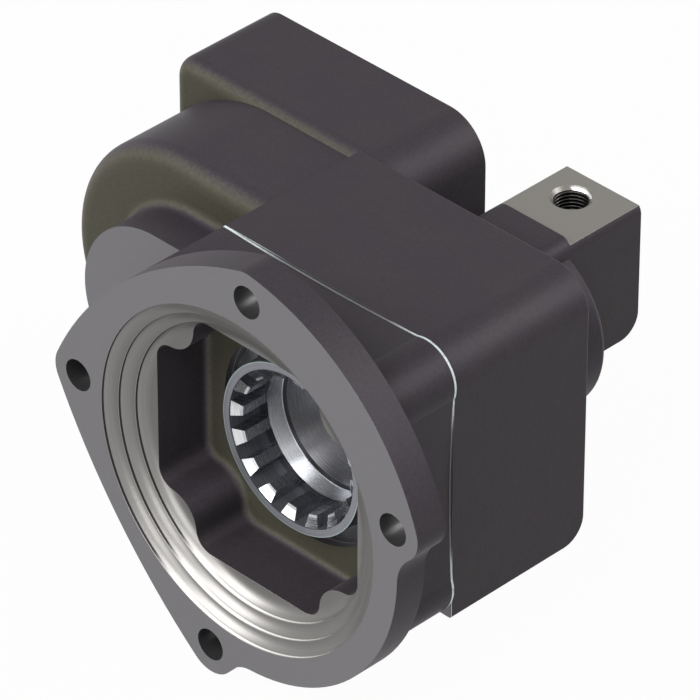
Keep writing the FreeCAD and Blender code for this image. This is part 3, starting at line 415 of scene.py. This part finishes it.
def cover_bare(tree, parts, along):
    """The cover's flange face and holes, its register, its bearing seat and its joint."""
    face = under(tree, parts[1], face_depth)
    back = over(tree, parts[1], cover_back - face_depth)
    holes = bored(tree, parts, flange_holes, flange_bore)
    register = bored(tree, parts, [input_axis], register_bore)
    seat = bored(tree, parts, [input_axis], bearing_seat)
    walls = both(tree, register, over(tree, along, -face_turn))
    lip, lip_shade_and_highlight, floor_shade_tone, direction = register_form(tree, parts, walls)
    # A thin band at the joint, painted pale towards the corners: squeezed-out gasket and a painted
    # highlight.
    edge = both(tree, over(tree, parts[1], cover_back - squeeze_width),
                under(tree, along, face_turn))
    # The flange holes are painted partly dark, as shade inside them, with the register's lips.
    return {"face": either(tree, [face, back, holes]), "bore": either(tree, [register, seat]),
            "pad": 0.0, "chamfer": 0.0,
            "lip": either(tree, [lip, calc(tree, "MULTIPLY", holes, flange_bore_shade)]),
            "squeeze_and_highlight": both(tree, edge, near_corner(tree, parts)),
            "form": (register, direction, lip_shade_and_highlight, floor_shade_tone)}


def housing_bare(tree, parts, along):
    """The housing's joint, its bores, the pump's face and holes, and the pad with the air port."""
    joint = under(tree, parts[1], housing_front + face_depth)
    pump = both(tree, over(tree, parts[1], pump_face - face_depth),
                under(tree, parts[0], pump_side))
    holes = bored(tree, parts, pump_hole_places, pump_bore)
    chamber = bored(tree, parts, [input_axis], gear_chamber)
    output = bored(tree, parts, [output_axis], output_bore)
    top = both(tree, between(tree, parts[1], pad_start, pad_end),
               over(tree, parts[2], pad_height))
    pad = both(tree, top, between(tree, parts[0], -pad_half_width, pad_half_width))
    port = near_axis(tree, parts, (port_x, port_y), port_radius, second=1)
    cone_foot, cone_rim = port_top - chamfer_depth, port_top - chamfer_rim
    # The drilled wall of the air port is painted near black: painted shade in the hole.
    drilled = both(tree, port, between(tree, parts[2], port_bottom, cone_foot))
    cone = both(tree, port, between(tree, parts[2], cone_foot, cone_rim))
    pad = either(tree, [pad, both(tree, port, over(tree, parts[2], cone_foot))])
    edge = both(tree, under(tree, parts[1], housing_front + squeeze_width),
                over(tree, along, -face_turn))
    # The chamfer mask is only the far part of the port's cone, painted bright: a painted highlight.
    return {"face": either(tree, [joint, pump, holes, drilled]),
            "bore": either(tree, [chamber, output]), "pad": pad, "lip": drilled,
            "chamfer": both(tree, cone, over(tree, parts[1], port_y + chamfer_lit)),
            "squeeze_and_highlight": both(tree, edge, near_corner(tree, parts)), "form": None}


finish_node("front_cover", cast_iron("cover casting", input_axis, cover_bare))
finish_node("main_housing", cast_iron("housing casting", output_axis, housing_bare))

# The tapped holes of the housing: a G 1/4 thread in the air port, and M12 threads for the pump's
# four screws. Each is a ridge cut by the tap, which winds down the wall of its hole.
thread_iron = (0.030, 0.029, 0.028, 1)
thread_worn = (0.075, 0.073, 0.070, 1)
turning_pitch, turning_height, turning_strength = 0.0004, 0.00003, 0.5
mottle_scale, bright_start, bright_end = 160.0, 0.1, 0.42
polish_spread = 0.16
port_thread_depth = 0.0122
pump_thread_start = 0.1428


def turned_steel(name, colour, bright, roughness, axis):
    """Turned steel: tone and polish vary from ring to ring, with a soft mottle over them."""
    material, tree, shader, place = new_material(name)
    lathe = use_group(tree, lathe_group, {"Position": place, "Axis X": axis[0],
                                          "Axis Z": axis[1], "Pitch": turning_pitch})
    mottle = noise(tree, place, mottle_scale, 4.0)
    share = calc(tree, "MULTIPLY", lathe["Tone"], mottle)
    share = ramp(tree, share, bright_start, bright_end)
    tree.links.new(blended(tree, share, colour, bright), shader.inputs["Base Color"])
    shader.inputs["Metallic"].default_value = 1.0
    polish = calc(tree, "MULTIPLY_ADD", mottle, polish_spread, roughness - polish_spread / 2)
    tree.links.new(polish, shader.inputs["Roughness"])
    raise_surface(tree, shader, lathe["Height"], turning_height, turning_strength)
    return material


def thread_ridge():
    """Nodes that wind a screw thread's ridge round each of the places they are given."""
    tree = bpy.data.node_groups.new("thread ridge", "GeometryNodeTree")
    tree.interface.new_socket("Places", in_out="INPUT", socket_type="NodeSocketGeometry")
    for name, kind in (("Radius", "Float"), ("Pitch", "Float"), ("Turns", "Float"),
                       ("Ridge", "Float"), ("Turned", "Vector"), ("Finish", "Material")):
        tree.interface.new_socket(name, in_out="INPUT", socket_type="NodeSocket" + kind)
    tree.interface.new_socket("Threads", in_out="OUTPUT", socket_type="NodeSocketGeometry")
    given = tree.nodes.new("NodeGroupInput").outputs
    length = calc(tree, "MULTIPLY", given["Pitch"], given["Turns"])
    winding = add_node(tree, "GeometryNodeCurveSpiral",
                       {"Resolution": 28, "Rotations": given["Turns"], "Height": length,
                        "Start Radius": given["Radius"], "End Radius": given["Radius"]})
    upright = add_node(tree, "GeometryNodeSetCurveNormal", {"Curve": winding.outputs[0]},
                       mode="Z_UP")
    tooth = add_node(tree, "GeometryNodeCurvePrimitiveCircle",
                     {"Resolution": 4, "Radius": given["Ridge"]})
    ridge = add_node(tree, "GeometryNodeCurveToMesh",
                     {"Curve": upright.outputs[0], "Profile Curve": tooth.outputs[0],
                      "Fill Caps": True})
    placed = add_node(tree, "GeometryNodeInstanceOnPoints",
                      {"Points": given["Places"], "Instance": ridge.outputs[0],
                       "Rotation": given["Turned"]})
    real = add_node(tree, "GeometryNodeRealizeInstances", {"Geometry": placed.outputs[0]})
    done = add_node(tree, "GeometryNodeSetMaterial",
                    {"Geometry": real.outputs[0], "Material": given["Finish"]})
    tree.links.new(done.outputs[0], tree.nodes.new("NodeGroupOutput").inputs["Threads"])
    return tree


thread_nodes = thread_ridge()


def cut_threads(name, places, **values):
    """Threads in like holes, as one plain mesh that stays with the housing."""
    mesh = bpy.data.meshes.new(name + " places")
    mesh.from_pydata(places, [], [])
    piece = bpy.data.objects.new(name, mesh)
    bpy.context.scene.collection.objects.link(piece)
    winding = piece.modifiers.new("thread", "NODES")
    winding.node_group = thread_nodes
    for socket in thread_nodes.interface.items_tree:
        if socket.in_out == "INPUT" and socket.name in values:
            winding[socket.identifier] = values[socket.name]
    bpy.context.view_layer.update()
    wound = piece.evaluated_get(bpy.context.evaluated_depsgraph_get())
    plain = bpy.data.meshes.new_from_object(wound)
    piece.modifiers.clear()
    piece.data = plain
    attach(piece, "housing")


tapped = turned_steel("tapped iron", thread_iron, thread_worn, 0.34, input_axis)
cut_threads("port_thread", [(port_x, port_y, port_top - port_thread_depth)],
            Radius=0.00595, Pitch=0.00134, Turns=8.0, Ridge=0.00062,
            Turned=(0.0, 0.0, 0.0), Finish=tapped)
cut_threads("pump_hole_threads", [(x, pump_thread_start, z) for x, z in pump_hole_places],
            Radius=0.00515, Pitch=0.00175, Turns=10.0, Ridge=0.0008,
            Turned=(math.radians(90), 0.0, 0.0), Finish=tapped)

# The gasket is a thin pressed fibre sheet. Only its edge shows, as a line round the joint,
# # with loose ends of fibre, painted pale towards the corners of the joint as a painted highlight.
pale_fibre_and_highlight = (0.74, 0.81, 0.81, 1)
gasket_fibre = (0.25, 0.27, 0.265, 1)
fibre_scale, pale_start, pale_end = 700.0, 0.3, 0.5
fibre_height, fibre_strength = 0.0001, 0.6


def fibre_sheet():
    """Dull, oily fibre, painted pale in its grain towards the corners of the joint: a painted
    highlight.
    """
    material, tree, shader, place = new_material("gasket fibre")
    fibre = noise(tree, place, fibre_scale, 5.0, 0.7)
    share = both(tree, ramp(tree, fibre, pale_start, pale_end),
                 near_corner(tree, split(tree, place)))
    tree.links.new(blended(tree, share, gasket_fibre, pale_fibre_and_highlight), shader.inputs["Base Color"])
    shader.inputs["Roughness"].default_value = 0.8
    raise_surface(tree, shader, fibre, fibre_height, fibre_strength)
    return material


finish_node("joint_gasket", fibre_sheet())

# The engagement sleeve is case-hardened steel. Its ring is turned and left with a thin dark
# # phosphate skin, while the fronts of its dog teeth, the land behind them and its bore are ground.
# # The bore is painted darker, and the shoulder at its foot near black, as painted shade deep in
# the sleeve.
sleeve_skin = (0.125, 0.130, 0.145, 1)
sleeve_ring = (0.185, 0.192, 0.213, 1)
sleeve_edge = (0.27, 0.32, 0.32, 1)
sleeve_ground = (0.72, 0.73, 0.75, 1)
sleeve_land = (0.40, 0.41, 0.43, 1)
sleeve_bore_shade = (0.17, 0.17, 0.18, 1)
sleeve_flank = (0.52, 0.53, 0.56, 1)
sleeve_root_shade = (0.03, 0.03, 0.034, 1)
inner_radius = 0.02735
edge_radius, edge_end = 0.02962, 0.0246
front_end, teeth_end, root_start, land_end = 0.026, 0.0371, 0.0435, 0.0442
ground_slope = 0.6
grinding_height, grinding_dark, grinding_bright = 0.000004, 0.9, 1.08
skin_shine = 0.45
sleeve_roughness, sleeve_polish_spread = 0.22, 0.08


def sleeve_steel():
    """The tooth fronts slope in towards the bore, and land and bore open towards the front."""
    material, tree, shader, place = new_material("sleeve steel")
    parts = split(tree, place)
    lathe = use_group(tree, lathe_group, {"Position": place})
    front = under(tree, split(tree, facing_of(tree))[1], -face_turn)
    within = near_axis(tree, parts, input_axis, inner_radius)
    ring = both(tree, front, under(tree, parts[1], front_end))
    rim = both(tree, over(tree, lathe["Radius"], edge_radius), under(tree, parts[1], edge_end))
    teeth = both(tree, within, under(tree, parts[1], teeth_end))
    tooth = both(tree, ring, within)
    land = both(tree, within, between(tree, parts[1], teeth_end, land_end))
    # The bore is painted dark and the shoulder at its foot near black: painted shade deep in the
    # sleeve.
    bore = both(tree, within, over(tree, parts[1], land_end))
    root = both(tree, within, both(tree, front, over(tree, parts[1], root_start)))
    colour = sleeve_skin
    for mask, tone in ((ring, sleeve_ring), (rim, sleeve_edge), (teeth, sleeve_flank),
                       (tooth, sleeve_ground), (land, sleeve_land), (bore, sleeve_bore_shade),
                       (root, sleeve_root_shade)):
        colour = blended(tree, mask, colour, tone)
    colour = scaled(tree, colour, ramp(tree, lathe["Tone"], ring_start, ring_end, grinding_dark,
                                       grinding_bright))
    tree.links.new(colour, shader.inputs["Base Color"])
    tree.links.new(blended_value(tree, within, skin_shine, 1.0), shader.inputs["Metallic"])
    polish = calc(tree, "MULTIPLY_ADD", lathe["Tone"], sleeve_polish_spread, sleeve_roughness)
    tree.links.new(polish, shader.inputs["Roughness"])
    slope = both(tree, calc(tree, "MULTIPLY", lathe["Radius"], ground_slope), tooth)
    draft = both(tree, calc(tree, "MULTIPLY", parts[1], ground_slope),
                 either(tree, [land, bore]))
    height = calc(tree, "MULTIPLY_ADD", lathe["Height"], grinding_height,
                  calc(tree, "ADD", slope, draft))
    raise_surface(tree, shader, height, 1.0, 1.0)
    return material


finish_node("engagement_sleeve", sleeve_steel())

# The two gears are cut from steel and case-hardened, dark on their hubs and ground bright on their
# tooth flanks. The output gear is keyed to its shaft, which is ground where bearings and seal run.
gear_dark = (0.12, 0.13, 0.14, 1)
gear_bright = (0.34, 0.35, 0.37, 1)
finish_node("input_gear", turned_steel("input gear steel", gear_dark, gear_bright, 0.34,
                                       input_axis))
finish_node("output_gear", turned_steel("output gear steel", gear_dark, gear_bright, 0.34,
                                        output_axis))
finish_node("output_shaft", turned_steel("shaft steel", (0.32, 0.33, 0.35, 1),
                                         (0.52, 0.53, 0.55, 1), 0.26, output_axis))

# The five ball bearings are bought pieces: ground rings, polished balls and pressed cages. Two
# carry the input gear's hub, two the output shaft, and one joins the turning sleeve to the rod.
for axis_name, axis, bearings in (("input", input_axis, ("input_front", "input_rear", "shift")),
                                  ("output", output_axis, ("output_front", "output_rear"))):
    ring = turned_steel(axis_name + " bearing rings", (0.5, 0.51, 0.53, 1),
                        (0.7, 0.71, 0.72, 1), 0.18, axis)
    ball = turned_steel(axis_name + " bearing balls", (0.62, 0.63, 0.65, 1),
                        (0.75, 0.76, 0.78, 1), 0.12, axis)
    cage = turned_steel(axis_name + " bearing cages", (0.35, 0.34, 0.32, 1),
                        (0.5, 0.49, 0.46, 1), 0.32, axis)
    for bearing in bearings:
        finish_node(bearing + "_outer_ring", ring)
        finish_node(bearing + "_inner_ring", ring)
        finish_node(bearing + "_balls", ball)
        finish_node(bearing + "_cage", cage)

# The shift cylinder's pieces: a turned aluminium piston on a ground rod, a steel guide plate with a
# bronze bush, a spring of dark wire, and clips of spring steel.
piston_metal = turned_steel("piston aluminium", (0.6, 0.6, 0.61, 1), (0.8, 0.8, 0.81, 1), 0.3,
                            input_axis)
ground_rod = turned_steel("ground rod", (0.45, 0.46, 0.47, 1), (0.66, 0.67, 0.68, 1), 0.2,
                          input_axis)
plate_steel = turned_steel("guide plate steel", (0.3, 0.3, 0.31, 1), (0.45, 0.45, 0.46, 1), 0.32,
                           input_axis)
bronze = turned_steel("sintered bronze", (0.42, 0.26, 0.1, 1), (0.6, 0.4, 0.18, 1), 0.4,
                      input_axis)
dark_spring = turned_steel("spring steel", (0.07, 0.07, 0.08, 1), (0.16, 0.16, 0.17, 1), 0.36,
                           input_axis)
finish_node("piston", piston_metal)
finish_node("rod_guide_plate", plate_steel)
finish_node("guide_bush", bronze)
for name in ("piston_rod", "gear_key", "dowel_pins"):
    finish_node(name, ground_rod)
for name in ("return_spring", "sleeve_clip", "rod_clip", "guide_plate_clip", "output_gear_clip",
             "carrier_clip"):
    finish_node(name, dark_spring)

# The screws are bought ones of steel with a black oxide skin, worn a little at the edges of their
# heads. They hold the housing to the cover, and the piston to its rod.
black_oxide = turned_steel("black oxide", (0.03, 0.03, 0.032, 1), (0.11, 0.11, 0.115, 1), 0.38,
                           input_axis)
for name in ("corner_screws", "side_screws", "piston_screw"):
    finish_node(name, black_oxide)

# The carrier of the output bearing is turned from iron and left bare. It stands in the housing's
# bore, and the pump sits in its pilot bore.
finish_node("output_carrier", turned_steel("carrier iron", (0.2, 0.2, 0.2, 1),
                                           (0.36, 0.35, 0.34, 1), 0.36, output_axis))

# The seals are moulded from black nitrile rubber and dusty with talc: O-rings round the piston, the
# guide plate and the carrier, and the lip seal on the output shaft.
rubber_black = (0.012, 0.012, 0.013, 1)
rubber_dust = (0.05, 0.05, 0.05, 1)
dust_scale, dust_start, dust_end = 300.0, 0.5, 0.8
rubber_height, rubber_strength = 0.00005, 0.4


def nitrile():
    """Black rubber with talc in its fine grain."""
    material, tree, shader, place = new_material("nitrile rubber")
    dust = noise(tree, place, dust_scale, 4.0)
    share = ramp(tree, dust, dust_start, dust_end)
    tree.links.new(blended(tree, share, rubber_black, rubber_dust), shader.inputs["Base Color"])
    shader.inputs["Roughness"].default_value = 0.55
    raise_surface(tree, shader, dust, rubber_height, rubber_strength)
    return material


rubber = nitrile()
for name in ("piston_o_ring", "guide_plate_o_ring", "carrier_o_ring", "output_seal"):
    finish_node(name, rubber)

# The studio: a pale paper floor, soft lamps in front and above, low in front, behind on the right
# and a small one beside the camera, and a camera with a long lens at the photograph's place.
camera_place = (1.21697831, -1.16696829, 1.24193414)
camera_azimuth = math.radians(45.0)
camera_elevation = math.radians(35.264)
camera_roll = math.radians(0.1)
picture_width = 700
pixels_to_sharp = 6800
sensor_width = 36.0
lamps_look_at = (-0.03, 0.07, 0.0)
world_level = 0.13
floor_grey = (0.62, 0.62, 0.62, 1)
floor_size, floor_gap, floor_glow = 12.0, 0.001, 0.97


def photograph_camera():
    back = Vector((math.sin(camera_azimuth) * math.cos(camera_elevation),
                   -math.cos(camera_azimuth) * math.cos(camera_elevation),
                   math.sin(camera_elevation)))
    level = Vector((math.cos(camera_azimuth), math.sin(camera_azimuth), 0))
    right = level * math.cos(camera_roll) + back.cross(level) * math.sin(camera_roll)
    up = back.cross(right)
    data = bpy.data.cameras.new("photograph camera")
    data.sensor_width = sensor_width
    data.lens = sensor_width * pixels_to_sharp / picture_width
    data.clip_end = 20
    camera = bpy.data.objects.new("photograph camera", data)
    turn = Matrix((right, up, back)).transposed().to_4x4()
    camera.matrix_world = Matrix.Translation(camera_place) @ turn
    bpy.context.scene.collection.objects.link(camera)
    bpy.context.scene.camera = camera


def soft_lamp(name, place, size, power):
    data = bpy.data.lights.new(name, "AREA")
    data.shape = "SQUARE"
    data.size = size
    data.energy = power
    lamp = bpy.data.objects.new(name, data)
    aim = Vector(lamps_look_at) - Vector(place)
    turn = aim.to_track_quat("-Z", "Y").to_matrix().to_4x4()
    lamp.matrix_world = Matrix.Translation(place) @ turn
    bpy.context.scene.collection.objects.link(lamp)


def seen_directly(tree):
    """1 for rays from the camera, a mirror or a glass."""
    path = add_node(tree, "ShaderNodeLightPath").outputs
    return either(tree, [path["Is Camera Ray"], path["Is Glossy Ray"],
                         path["Is Transmission Ray"]])


def studio_world(level):
    """Plain white where it is seen, and a weaker light from all round."""
    world = bpy.data.worlds.new("studio")
    world.use_nodes = True
    tree = world.node_tree
    light = tree.nodes["Background"]
    light.inputs["Color"].default_value = (1, 1, 1, 1)
    strength = blended_value(tree, seen_directly(tree), level, 1.0)
    tree.links.new(strength, light.inputs["Strength"])
    bpy.context.scene.world = world


def studio_floor(height, size):
    """Pale paper that takes the part's shadow faintly and is seen nearly white."""
    mesh = bpy.data.meshes.new("floor")
    half = size / 2
    mesh.from_pydata([(-half, -half, height), (half, -half, height),
                      (half, half, height), (-half, half, height)], [], [(0, 1, 2, 3)])
    material = bpy.data.materials.new("floor paper")
    material.use_nodes = True
    tree = material.node_tree
    shader = tree.nodes["Principled BSDF"]
    shader.inputs["Base Color"].default_value = floor_grey
    shader.inputs["Roughness"].default_value = 0.9
    glow = add_node(tree, "ShaderNodeEmission", {"Color": (1, 1, 1, 1), "Strength": 1.0})
    share = calc(tree, "MULTIPLY", seen_directly(tree), floor_glow)
    mix = add_node(tree, "ShaderNodeMixShader",
                   {0: share, 1: shader.outputs[0], 2: glow.outputs[0]})
    tree.links.new(mix.outputs[0], tree.nodes["Material Output"].inputs["Surface"])
    mesh.materials.append(material)
    floor = bpy.data.objects.new("floor", mesh)
    bpy.context.scene.collection.objects.link(floor)
    floor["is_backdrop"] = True


photograph_camera()
soft_lamp("front left lamp", (-0.9, -1.6, 1.3), 1.2, 28.0)
soft_lamp("front top lamp", (0.3, -1.2, 1.7), 1.0, 19.0)
soft_lamp("low front lamp", (0.3, -2.0, 0.3), 1.0, 11.5)
soft_lamp("rear right lamp", (1.2, 1.35, 1.25), 1.0, 23.0)
soft_lamp("camera side lamp", (1.25, -1.32, 1.2), 0.5, 2.2)
studio_world(world_level)
studio_floor(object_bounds()[0][2] - floor_gap, floor_size)

bpy.context.scene.view_settings.view_transform = "Standard"
